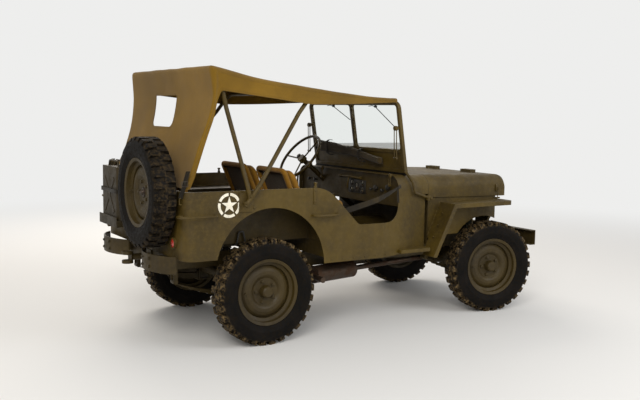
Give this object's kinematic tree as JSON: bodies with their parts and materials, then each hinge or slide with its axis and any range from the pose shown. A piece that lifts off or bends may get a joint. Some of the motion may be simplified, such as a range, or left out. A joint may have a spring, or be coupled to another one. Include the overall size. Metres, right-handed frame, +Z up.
{
  "type": "army 4x4 car",
  "caption": "Open-sided army 4x4 car with a canvas top, flat fenders, a folding windshield, a spare wheel and a fuel can at the back, and working steering.",
  "frame": {"origin": "on the ground under the middle of the overall box", "axes": "+X forward, +Y the vehicle's left, +Z up"},
  "size_m": [3.337, 1.58, 1.786],
  "materials": {
    "olive_body": "matt olive drab enamel, dusty and scuffed",
    "olive_chassis": "matt olive drab enamel, darkened by dirt",
    "engine_paint": "matt grey-green enamel",
    "exhaust_steel": "heat-darkened bare steel",
    "tyre_rubber": "worn black rubber with sand in the tread",
    "canvas": "coarse faded canvas",
    "seat_canvas": "ochre duck canvas",
    "strap_web": "woven cotton web",
    "window_glass": "clear, lightly dusty"
  },
  "bodies": {
    "chassis": {"frame": "olive_chassis", "front_bumper": "olive_body", "rear_bumpers": "olive_body", "front_axle": "olive_chassis", "rear_axle": "olive_chassis", "suspension": "olive_chassis", "engine": "engine_paint", "radiator": "engine_paint", "drive_train": "olive_chassis", "exhaust": "exhaust_steel", "side_panel_right": "olive_body", "side_panel_left": "olive_body", "rear_panel": "olive_body", "floor": "olive_body", "wheel_houses": "olive_body", "cowl": "olive_body", "bulkheads": "olive_body", "grille": "olive_body", "lamps": "olive_body", "front_fender_right": "olive_body", "front_fender_left": "olive_body", "windshield_frame": "olive_body", "windshield_glass": "window_glass", "mirror": "olive_body", "canvas_top": "canvas", "top_bows": "olive_body", "steering_column": "olive_body", "seat_frames": "olive_body", "seat_cushions": "seat_canvas", "fuel_tank": "olive_body", "controls": "olive_body", "rear_carriers": "olive_body", "jerry_can": "olive_body", "spare_tyre": "tyre_rubber", "spare_rim": "olive_body", "grab_handles": "olive_body", "safety_straps": "strap_web", "side_steps": "olive_body"},
    "hood": {"hood": "olive_body"},
    "steering_wheel": {"steering_wheel": "olive_body"},
    "passenger_seat": {"passenger_seat_frame": "olive_body", "passenger_seat_cushions": "seat_canvas"},
    "knuckle_right": {"knuckle_right": "olive_chassis"},
    "knuckle_left": {"knuckle_left": "olive_chassis"},
    "tie_rod": {"tie_rod": "olive_chassis"},
    "wheel_front_left": {"rim_front_left": "olive_body", "tyre_front_left": "tyre_rubber"},
    "wheel_front_right": {"rim_front_right": "olive_body", "tyre_front_right": "tyre_rubber"},
    "wheel_rear_left": {"rim_rear_left": "olive_body", "tyre_rear_left": "tyre_rubber"},
    "wheel_rear_right": {"rim_rear_right": "olive_body", "tyre_rear_right": "tyre_rubber"}
  },
  "joints": [
    {"name": "steer_right", "type": "hinge", "parent": "chassis", "child": "knuckle_right", "pos_m": [1.1485, -0.5125, 0.355], "axis": [0, 0, 1], "range_deg": [-15.2, 36.8]},
    {"name": "steer_left", "type": "hinge", "parent": "chassis", "child": "knuckle_left", "pos_m": [1.1485, 0.5125, 0.355], "axis": [0, 0, 1], "range_deg": [-15.2, 36.8]},
    {"name": "tie_rod_swing", "type": "hinge", "parent": "knuckle_right", "child": "tie_rod", "pos_m": [1.31058, -0.54342, 0.39], "axis": [0, 0, 1], "range_deg": [-36.8, 15.2]},
    {"name": "steering_wheel_turn", "type": "hinge", "parent": "chassis", "child": "steering_wheel", "pos_m": [-0.0265, 0.37, 1.178], "axis": [-0.7815, 0, 0.6239], "range_deg": [-228, 552]},
    {"name": "hood_hinge", "type": "hinge", "parent": "chassis", "child": "hood", "pos_m": [0.5205, 0, 1.094], "axis": [0, -1, 0], "range_deg": [0, 100]},
    {"name": "passenger_seat_tip", "type": "hinge", "parent": "chassis", "child": "passenger_seat", "pos_m": [-0.1675, -0.29, 0.59], "axis": [0, 1, 0], "range_deg": [0, 70]},
    {"name": "roll_front_left", "type": "hinge", "parent": "knuckle_left", "child": "wheel_front_left", "pos_m": [1.16911, 0.62055, 0.355], "axis": [0.1874, 0.9823, 0], "continuous": true},
    {"name": "roll_front_right", "type": "hinge", "parent": "knuckle_right", "child": "wheel_front_right", "pos_m": [1.12789, -0.62055, 0.355], "axis": [0.1874, 0.9823, 0], "continuous": true},
    {"name": "roll_rear_left", "type": "hinge", "parent": "chassis", "child": "wheel_rear_left", "pos_m": [-0.8835, 0.6225, 0.355], "axis": [0, 1, 0], "continuous": true},
    {"name": "roll_rear_right", "type": "hinge", "parent": "chassis", "child": "wheel_rear_right", "pos_m": [-0.8835, -0.6225, 0.355], "axis": [0, 1, 0], "continuous": true}
  ],
  "couplings": [
    {"joint": "steer_left", "follows": "steer_right", "ratio": 1},
    {"joint": "tie_rod_swing", "follows": "steer_right", "ratio": -1},
    {"joint": "steering_wheel_turn", "follows": "steer_right", "ratio": 15}
  ]
}
